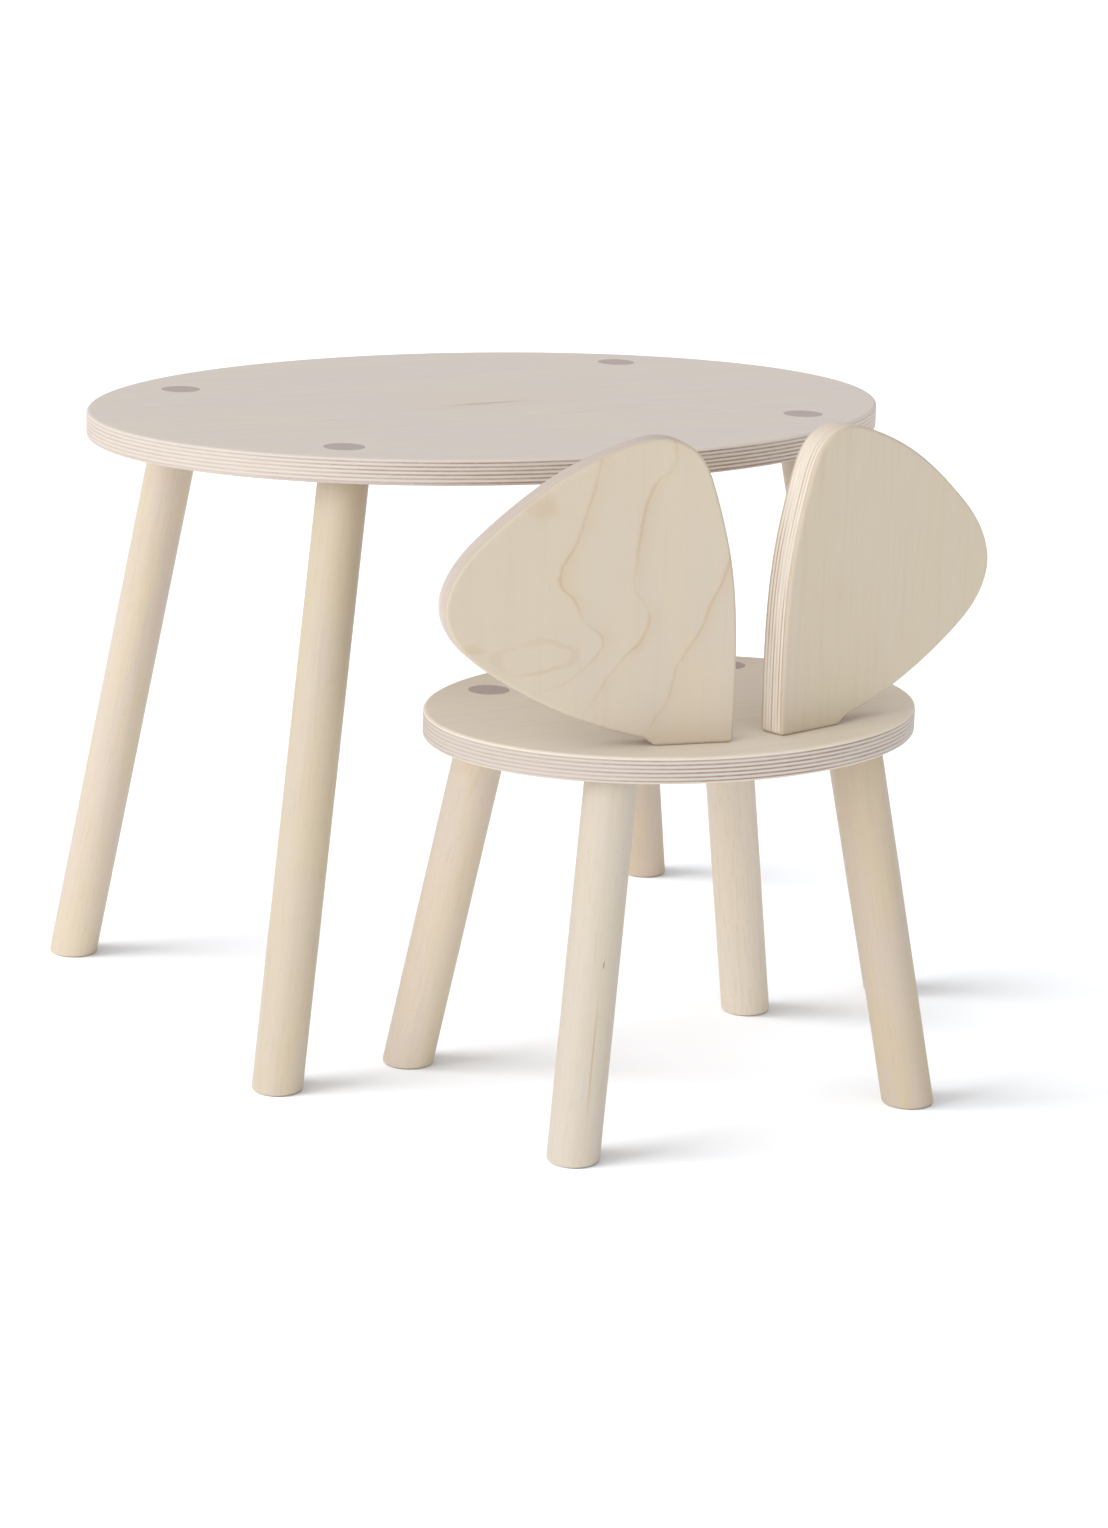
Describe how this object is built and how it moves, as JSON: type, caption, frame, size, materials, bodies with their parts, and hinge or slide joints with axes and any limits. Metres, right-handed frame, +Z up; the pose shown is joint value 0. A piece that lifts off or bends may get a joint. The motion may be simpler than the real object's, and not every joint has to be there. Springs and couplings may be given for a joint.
{
  "type": "child's table and chair set",
  "caption": "Low oval plywood table on splayed round legs, with a matching small chair whose backrest is two upright ear-shaped plates.",
  "frame": {"origin": "centre of the whole set's footprint, on the floor", "axes": "+Z up; +Y from the chair towards the table and the longest extent; +X along the table's length, to the right of a child sitting on the chair"},
  "size_m": [0.64, 0.6879, 0.4992],
  "materials": {
    "birch_plywood": "pale birch faces under a thin matt lacquer, bare layered edges",
    "solid_birch": "pale solid birch, matt lacquer, grain along the leg",
    "zinc_plated_steel": "zinc plated",
    "beech_dowel": "bare"
  },
  "bodies": {
    "table": {"table_top": "birch_plywood", "table_leg_near_left": "solid_birch", "table_leg_near_right": "solid_birch", "table_leg_far_left": "solid_birch", "table_leg_far_right": "solid_birch"},
    "chair": {"chair_seat": "birch_plywood", "chair_leg_front_left": "solid_birch", "chair_leg_front_right": "solid_birch", "chair_leg_rear_left": "solid_birch", "chair_leg_rear_right": "solid_birch", "backrest_ear_left": "birch_plywood", "backrest_ear_right": "birch_plywood", "ear_screws": "zinc_plated_steel", "ear_dowels": "beech_dowel"}
  },
  "joints": [
    {"name": "chair_slide", "type": "slide", "parent": "table", "child": "chair", "axis": [0, 1, 0], "range_m": [-0.35, 0.13]}
  ]
}
